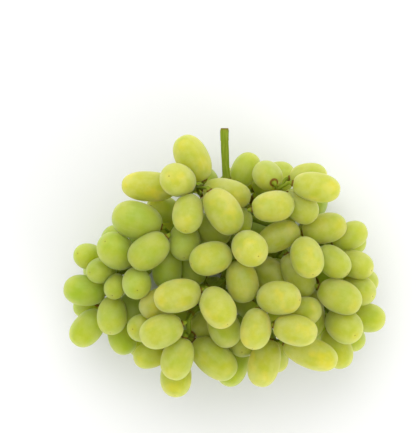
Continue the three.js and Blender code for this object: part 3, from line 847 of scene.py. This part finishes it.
def grape_skin(settings):
    """Thin waxy skin over clear watery flesh: light soaks in and glows yellow green, and the
    dusty bloom on top keeps the gloss broad and pale."""
    material, tree = new_material("waxy_grape_skin")
    # berry_ripe holds each berry's ripeness with painted light and shade in it: yellower and lighter
    # high on the bunch, darker and greener deep inside. The ripe colour, the golden patches, the
    # tip's gold and the bloom all follow it, so they carry that painted shade too.
    outputs = {"place": "Vector", "seed": "Fac", "ripe": "Fac", "tip": "Fac", "stem": "Fac"}
    place, seed, ripe, tip, stem = (
        add_node(tree, "ShaderNodeAttribute", {"attribute_name": f"berry_{name}"}, output)
        for name, output in outputs.items()
    )
    drawn_out = add_node(
        tree, "ShaderNodeVectorMath", {"operation": "MULTIPLY", 0: place, 1: LENGTHWISE}
    )
    other_seeds = {"sunned": ("ADD", seed, 31.7), "wax": ("ADD", seed, 7.3)}
    other_seed = add_rows(tree, "ShaderNodeMath", {}, MATH, other_seeds)
    noises = {
        "blotch": (place, seed, 1 / BLOTCH_SIZE, 2),
        "sunned": (place, other_seed["sunned"], 1 / SUNNED_SIZE, 2),
        "vein": (drawn_out, seed, 1 / VEIN_SPACING, 1),
        "wax": (place, other_seed["wax"], 1 / BLOOM_SIZE, 4),
        "grain": (place, seed, 1 / GRAIN_SIZE, 3),
    }
    noise = add_rows(tree, "ShaderNodeTexNoise", {"noise_dimensions": "4D"}, NOISE, noises)
    pores = add_node(tree, "ShaderNodeTexVoronoi", {"Vector": place, "Scale": 1 / SPECK_SPACING})

    dot = settings.scar_radius / MM
    ramps = {
        "blotch": (noise["blotch"], 0.3, 0.7, -0.2, 0.2),
        "sunned": (noise["sunned"], 0.5, 0.7, 0, 1),
        "sunned_by_ripe_and_shade": (ripe, 0.4, 1, 0, 0.85),
        "tip_glow": (tip, 1, 3.6, 1, 0),
        "tip_by_ripe_and_shade": (ripe, 0.2, 0.9, 0.1, 0.5),
        "green_stem_end": (stem, 1.5, 4.5, 0.5, 0),
        "vein": (noise["vein"], 0.5, 0.75, 0, 0.05),
        "wax": (noise["wax"], 0.3, 0.7, 0.03, 0.18),
        "wax_by_ripe_and_shade": (ripe, 0.1, 1, 0.8, 1.6),
        "pore": (pores, 0.05, 0.11, 0.22, 0),
        "rim_starts": (stem, 1.5, 1.9, 0, 1),
        "rim_ends": (stem, 2.1, 2.9, 0.9, 0),
        "dot": (tip, 0.8 * dot, 1.5 * dot, 0.6, 0),
    }
    ramp = add_rows(tree, "ShaderNodeMapRange", SMOOTH, RAMP, ramps)
    pairs = {
        "turned": ("ADD", ripe, ramp["blotch"]),
        "sunned": ("MULTIPLY", ramp["sunned"], ramp["sunned_by_ripe_and_shade"]),
        "tip_glow": ("MULTIPLY", ramp["tip_glow"], ramp["tip_by_ripe_and_shade"]),
        "wax": ("MULTIPLY", ramp["wax"], ramp["wax_by_ripe_and_shade"]),
        "rim": ("MULTIPLY", ramp["rim_starts"], ramp["rim_ends"]),
        "relief": ("ADD", noise["grain"], noise["vein"]),
    }
    joined = add_rows(tree, "ShaderNodeMath", {}, MATH, pairs)

    skin = (*settings.unripe, 1)
    coats = (
        (joined["turned"], settings.ripe),
        (joined["sunned"], settings.golden),
        (joined["tip_glow"], settings.golden),
        (ramp["green_stem_end"], settings.unripe),
        (ramp["vein"], settings.bloom),
        (joined["wax"], settings.bloom),
        (ramp["pore"], settings.scar),
        (joined["rim"], settings.rim),
        (ramp["dot"], settings.scar),
    )
    for share, coat in coats:
        mix = {"data_type": "RGBA", 0: share, FIRST_COLOUR: skin, SECOND_COLOUR: (*coat, 1)}
        skin = add_node(tree, "ShaderNodeMix", mix, MIXED_COLOUR)

    matt = {**SMOOTH, "Value": joined["wax"], "From Max": 0.2, "To Min": 0.46, "To Max": 0.6}
    shader = {
        "Base Color": skin,
        "Roughness": add_node(tree, "ShaderNodeMapRange", matt),
        "IOR": 1.44,
        "Specular IOR Level": 1,
        "Subsurface Weight": 1,
        "Subsurface Radius": (1, 0.9, 0.25),
        "Subsurface Scale": GLOW_DEPTH * MM,
        "Sheen Weight": 0.2,
        "Sheen Roughness": 0.5,
    }
    add_surface(tree, joined["relief"], SKIN_RELIEF, shader, strength=0.12)
    return material


FIBRE_SPACING = 0.9  # mm between the lengthwise fibres in the bark
CORK_SIZE = 1.1  # mm across a fleck of cork
BARK_RELIEF = 0.4  # mm that the fibres and the cork stand out


def green_bark(settings):
    """The green bark of a young grape stem: matt, streaked lengthwise, and corky brown where it
    forks, where it was cut and round each berry's collar."""
    material, tree = new_material("green_stem_bark")
    place, dry, cut = (
        add_node(tree, "ShaderNodeAttribute", {"attribute_name": f"stem_{name}"}, output)
        for name, output in {"place": "Vector", "dry": "Fac", "cut": "Fac"}.items()
    )
    drawn_out = add_node(
        tree, "ShaderNodeVectorMath", {"operation": "MULTIPLY", 0: place, 1: LENGTHWISE}
    )
    noises = {
        "streak": (drawn_out, 0, 1 / FIBRE_SPACING, 2),
        "cork": (place, 0, 1 / CORK_SIZE, 4),
    }
    noise = add_rows(tree, "ShaderNodeTexNoise", {"noise_dimensions": "4D"}, NOISE, noises)
    ramps = {
        "streak": (noise["streak"], 0.35, 0.7, 0, 0.5),
        "cork": (noise["cork"], 0.3, 0.6, 0.6, 1),
        "speck": (noise["cork"], 0.66, 0.72, 0, 0.5),
    }
    ramp = add_rows(tree, "ShaderNodeMapRange", SMOOTH, RAMP, ramps)
    corky = add_node(tree, "ShaderNodeMath", {"operation": "MULTIPLY", 0: dry, 1: ramp["cork"]})

    bark = (*settings.fresh, 1)
    coats = (
        (ramp["streak"], settings.pale),
        (corky, settings.dry),
        (ramp["speck"], settings.dry),
        (cut, settings.cut),
    )
    for share, coat in coats:
        mix = {"data_type": "RGBA", 0: share, FIRST_COLOUR: bark, SECOND_COLOUR: (*coat, 1)}
        bark = add_node(tree, "ShaderNodeMix", mix, MIXED_COLOUR)

    # The flecks of cork stand out a little less than the fibres.
    both = {"operation": "MULTIPLY_ADD", 0: noise["cork"], 1: 0.6, 2: noise["streak"]}
    relief = add_node(tree, "ShaderNodeMath", both)
    shader = {
        "Base Color": bark,
        "Roughness": 0.65,
        "IOR": 1.45,
        "Specular IOR Level": 0.2,
        "Subsurface Weight": 0.1,
        "Subsurface Scale": 1 * MM,
    }
    add_surface(tree, relief, BARK_RELIEF, shader, strength=0.5)
    return material


PAPER_GRAIN = 10 / 9  # mm across a clump of fibres, drawn coarser than real so that it shows
PAPER_RELIEF = 0.1  # mm that it stands out


def matt_paper(settings):
    """White studio paper: matt, with a barely uneven surface."""
    material, tree = new_material("white_studio_paper")
    place = add_node(tree, "ShaderNodeTexCoord", {}, "Object")
    scale = 1 / (PAPER_GRAIN * MM)
    grain = add_node(tree, "ShaderNodeTexNoise", {"Vector": place, "Scale": scale})
    shader = {"Base Color": (*settings.paper, 1), "Roughness": 0.9, "Specular IOR Level": 0.2}
    add_surface(tree, grain, PAPER_RELIEF, shader, strength=0.05)
    return material


def bark_of(settings):
    return bpy.data.materials.get("green_stem_bark") or green_bark(settings)


# --- Operators -----------------------------------------------------------------------------------

MAIN_STEM_STEPS = 240  # rings of points along the main stem
KNUCKLE_SHARE = 0.016  # half the length of a knuckle, as a share of the main stem
CUT_DRY = (0.6, 0.04)  # how dry the bark is below the cut, and how far down, as such a share
EDGE_DRY = (0.5, 0.006)  # the same right at the cut's edge
KNUCKLE_DRY = 0.5
TIP_DRY = (0.8, 0.02)  # the same at the main stem's far end

STEPS_PER_FORK = 24  # rings of points along a branch from one fork to the next
FORK_KNUCKLE = 2.5  # half the length of a fork's knuckle, in those steps
FORK_DRY = 0.6
TWIG_STEPS = 12
TWIG_KNUCKLE = 0.3  # how much of a fork's knuckle a twig has at its ends
TWIG_DRY = 0.25

PEDICEL_STEPS = 22
PEDICEL_SINK = 0.9  # how deep a pedicel goes into its berry, in mm
PEDICEL_LEAD = 1.6  # how far from the berry it turns into the berry's own line, in mm
PEDICEL_TURN = (0.2, 0.4, 0.55, 0.7, 0.85, 1)  # its places along that last stretch
COLLAR_FLARE = 0.8  # below 1 the collar widens early
LIP_WIDTH = 0.5  # the corky lip where the collar meets the berry, in mm
LIP_HEIGHT = 0.4  # mm
ROOT_SWELL = 0.35  # how much thicker a pedicel is at its root, just off its fork, in mm
ROOT_LENGTH = 1.2  # half the length of that swelling, in mm
ROOT_DRY = (0.35, 1.5)  # how dry it is there, and over how many mm either way


def rachis_radius(share):
    """The main stem: flat cut end, a swelling just below it, then a steady taper."""
    knob = share / KNOB_SHARE
    if knob < 1:
        return CUT_RADIUS + (KNOB_RADIUS - CUT_RADIUS) * knob
    if knob < 1 + KNOB_FADE:
        return KNOB_RADIUS + (PEDUNCLE_RADIUS - KNOB_RADIUS) * (knob - 1) / KNOB_FADE
    return PEDUNCLE_RADIUS + (RACHIS_TIP_RADIUS - PEDUNCLE_RADIUS) * share


class GRAPES_OT_main_stem(bpy.types.Operator):
    """Add the main stem, with its cut end and a knuckle where each side branch leaves it"""

    bl_idname = "grapes.main_stem"
    bl_label = "Main Stem"
    bl_options = {"REGISTER", "UNDO"}

    def execute(self, context):
        settings = context.scene.grape_stems
        shares = np.arange(MAIN_STEM_STEPS + 1) / MAIN_STEM_STEPS
        points = [rachis(share) for share in shares]
        radii = np.array([rachis_radius(share) for share in shares])
        dry = CUT_DRY[0] * mound(shares, CUT_DRY[1]) + EDGE_DRY[0] * np.exp(-shares / EDGE_DRY[1])
        for spray in SPRAYS.values():
            near = mound(shares - spray["from"], KNUCKLE_SHARE)
            radii = radii + settings.knuckle / MM * near
            dry = np.maximum(dry, KNUCKLE_DRY * near)
        dry = np.maximum(dry, TIP_DRY[0] * mound(1 - shares, TIP_DRY[1]))
        skin = Skin()
        tube(skin, points, radii, sides=40, dry=dry, ridges=0.035, cut=1)
        skin.piece("main_stem_bark", bark_of(settings), "stem", "main_stem")
        return {"FINISHED"}


class GRAPES_OT_side_stems(bpy.types.Operator):
    """Add each spray's branch, its twigs and its berries' short stems with their collars"""

    bl_idname = "grapes.side_stems"
    bl_label = "Side Stems"
    bl_options = {"REGISTER", "UNDO"}

    def execute(self, context):
        settings = context.scene.grape_stems
        for number, name in enumerate(SPRAYS):
            skin = Skin()
            own = [berry for berry in settled() if berry.spray == name]
            twigs = {berry.twig for berry in own if berry.twig}
            self.add_branch(skin, name, settings, number)
            for start, end in sorted(twigs):
                self.add_twig(skin, np.array(start), np.array(end), settings)
            for berry in own:
                self.add_pedicel(skin, berry, settings)
            skin.piece(f"{name}_stems", bark_of(settings), "stem", f"spray_{name}")
        return {"FINISHED"}

    @staticmethod
    def add_branch(skin, name, settings, phase):
        """A spray's branch, which tapers towards its last fork and swells at each."""
        forks = len(SPRAYS[name]["forks"])
        steps = STEPS_PER_FORK * forks
        shares = np.arange(steps + 1) / steps
        points = [branches[name](share) for share in shares]
        radii = BRANCH_ROOT_RADIUS + (BRANCH_TIP_RADIUS - BRANCH_ROOT_RADIUS) * shares
        dry = np.zeros(steps + 1)
        for fork in range(1, forks + 1):
            near = mound(shares * steps - STEPS_PER_FORK * fork, FORK_KNUCKLE)
            radii = radii + settings.knuckle / MM * near
            dry = np.maximum(dry, FORK_DRY * near)
        tube(skin, points, radii, sides=16, dry=dry, ridges=0.03, phase=phase)

    @staticmethod
    def add_twig(skin, start, end, settings):
        """A straight twig down from a fork, a little thicker and drier at its two ends."""
        shares = np.arange(TWIG_STEPS + 1) / TWIG_STEPS
        points = start + (end - start) * shares[:, None]
        at_ends = np.abs(2 * shares - 1)
        radii = BRANCH_TIP_RADIUS + TWIG_KNUCKLE * (settings.knuckle / MM) * at_ends**3
        tube(skin, points, radii, sides=12, dry=TWIG_DRY * at_ends**4)

    @staticmethod
    def add_pedicel(skin, berry, settings):
        """A berry's own stem, which widens to a warty collar where it enters the berry."""
        collar, length = settings.collar_radius / MM, settings.collar_length / MM
        base = berry.base() + berry.axis * PEDICEL_SINK
        lead = berry.base() - berry.axis * PEDICEL_LEAD
        shares = np.arange(PEDICEL_STEPS + 1)[:, None] / PEDICEL_STEPS
        straight = berry.start + (lead - berry.start) * shares
        points = np.vstack((straight, lead + (base - lead) * np.array(PEDICEL_TURN)[:, None]))
        left = np.linalg.norm(points - base, axis=1)
        from_root = left - np.linalg.norm(lead - berry.start)
        grow = np.clip(1 - left / (length + PEDICEL_SINK), 0, 1)
        lip = mound(left - PEDICEL_SINK, LIP_WIDTH)
        radii = PEDICEL_RADIUS + (collar - PEDICEL_RADIUS) * grow**COLLAR_FLARE + LIP_HEIGHT * lip
        radii = radii + ROOT_SWELL * mound(from_root, ROOT_LENGTH)
        dry = np.maximum(lip, ROOT_DRY[0] * mound(from_root, ROOT_DRY[1]))
        tube(skin, points, radii, sides=14, dry=dry, ridges=0.04, phase=left[0])


BERRY_SEED = 11
RIPENESS_SPREAD = 0.15  # how far chance moves a berry's ripeness, either way


class GRAPES_OT_berries(bpy.types.Operator):
    """Add the berries of each spray"""

    bl_idname = "grapes.berries"
    bl_label = "Berries"
    bl_options = {"REGISTER", "UNDO"}

    def execute(self, context):
        settings = context.scene.grape_berries
        material = grape_skin(settings)
        berries = settled()
        planes = press_planes(berries, settings.swell / MM)
        skins = {name: Skin() for name in SPRAYS}
        chance = np.random.RandomState(BERRY_SEED)
        for berry, flats in zip(berries, planes):
            # Besides the spray's ripeness and chance, this holds painted light and shade: berries
            # high on the bunch are painted yellower and lighter, and deep ones darker and greener.
            ripeness_and_shade = SPRAYS[berry.spray]["ripe"] + ripening_and_painted_shade(berry.centre)
            ripeness_and_shade += chance.uniform(-RIPENESS_SPREAD, RIPENESS_SPREAD)
            ripeness_and_shade = min(max(ripeness_and_shade, 0), 1)
            add_berry(skins[berry.spray], berry, flats, ripeness_and_shade, settings, chance)
        for name, skin in skins.items():
            skin.piece(f"{name}_berries", material, "berries", f"spray_{name}")
        return {"FINISHED"}


PICTURE_MIDDLE = (-8.25, 25.3)  # the middle of the picture, x and y in the layout
FLOOR_HALF = 3  # metres
FLOOR_CORNERS = ((-1, -1), (1, -1), (1, 1), (-1, 1))
FLOOR_DROP = 0.2  # the floor lies this much lower than the berries' flats, in mm
KEY_PLACE = (-0.15, 1.05, 1.3)  # metres
KEY_SIZE = 2  # metres
FILL_PLACE = (0.7, -0.7, 0.6)
FILL_SIZE = 0.8


class GRAPES_OT_stage(bpy.types.Operator):
    """Add the floor, the soft lights and the camera"""

    bl_idname = "grapes.stage"
    bl_label = "Stage"
    bl_options = {"REGISTER", "UNDO"}

    def execute(self, context):
        scene = context.scene
        settings = scene.grape_stage
        mesh = bpy.data.meshes.new("floor")
        corners = [(x * FLOOR_HALF, y * FLOOR_HALF, 0) for x, y in FLOOR_CORNERS]
        mesh.from_pydata(corners, [], [(0, 1, 2, 3)])
        mesh.materials.append(matt_paper(settings))
        floor = bpy.data.objects.new("floor", mesh)
        floor.location.z = -FLOOR_DROP * MM
        scene.collection.objects.link(floor)

        world = bpy.data.worlds.new("studio")
        world.use_nodes = True
        sky = world.node_tree.nodes["Background"]
        sky.inputs["Color"].default_value = (1, 1, 1, 1)
        sky.inputs["Strength"].default_value = settings.sky
        # The wax mirrors the key light alone, so that the shaded sides keep their full colour.
        world.cycles_visibility.glossy = False
        scene.world = world

        lights = (
            ("key", settings.key_power, KEY_SIZE, KEY_PLACE),
            ("fill", settings.fill_power, FILL_SIZE, FILL_PLACE),
        )
        for name, power, size, place in lights:
            light = bpy.data.lights.new(name, "AREA")
            light.shape = "DISK"
            light.size = size
            light.energy = power
            lamp = bpy.data.objects.new(name, light)
            scene.collection.objects.link(lamp)
            lamp.location = place
            lamp.rotation_mode = "QUATERNION"
            lamp.rotation_quaternion = lamp.location.to_track_quat("Z", "Y")
            lamp.visible_camera = False
            lamp.visible_glossy = name == "key"

        camera = bpy.data.objects.new("camera", bpy.data.cameras.new("camera"))
        scene.collection.objects.link(camera)
        camera.data.lens = settings.lens
        distance = settings.picture_height * settings.lens / camera.data.sensor_width
        x, y = (place - shift for place, shift in zip(PICTURE_MIDDLE, MIDDLE))
        camera.location = (x * MM, y * MM, settings.focus_height + distance)
        scene.camera = camera
        scene.view_settings.view_transform = "Standard"
        return {"FINISHED"}


class GRAPES_PT_panel(bpy.types.Panel):
    """Lists the operators and their settings"""

    bl_idname = "GRAPES_PT_panel"
    bl_label = "Grapes"
    bl_space_type = "VIEW_3D"
    bl_region_type = "UI"
    bl_category = "Grapes"

    def draw(self, context):
        layout = self.layout
        for operator in OPERATORS:
            layout.operator(operator.bl_idname)
        for group, settings in SETTINGS.items():
            for name in group.__annotations__:
                layout.prop(getattr(context.scene, settings), name)


SETTINGS = {
    GrapeBerrySettings: "grape_berries",
    GrapeStemSettings: "grape_stems",
    GrapeStageSettings: "grape_stage",
}
OPERATORS = (GRAPES_OT_main_stem, GRAPES_OT_side_stems, GRAPES_OT_berries, GRAPES_OT_stage)


def register():
    for group, name in SETTINGS.items():
        bpy.utils.register_class(group)
        setattr(bpy.types.Scene, name, PointerProperty(type=group))
    for operator in OPERATORS:
        bpy.utils.register_class(operator)
    bpy.utils.register_class(GRAPES_PT_panel)


def unregister():
    bpy.utils.unregister_class(GRAPES_PT_panel)
    for operator in reversed(OPERATORS):
        bpy.utils.unregister_class(operator)
    for group, name in SETTINGS.items():
        delattr(bpy.types.Scene, name)
        bpy.utils.unregister_class(group)


def main():
    register()
    bpy.ops.grapes.main_stem()
    bpy.ops.grapes.side_stems()
    bpy.ops.grapes.berries()
    bpy.ops.grapes.stage()


if __name__ == "__main__":
    main()
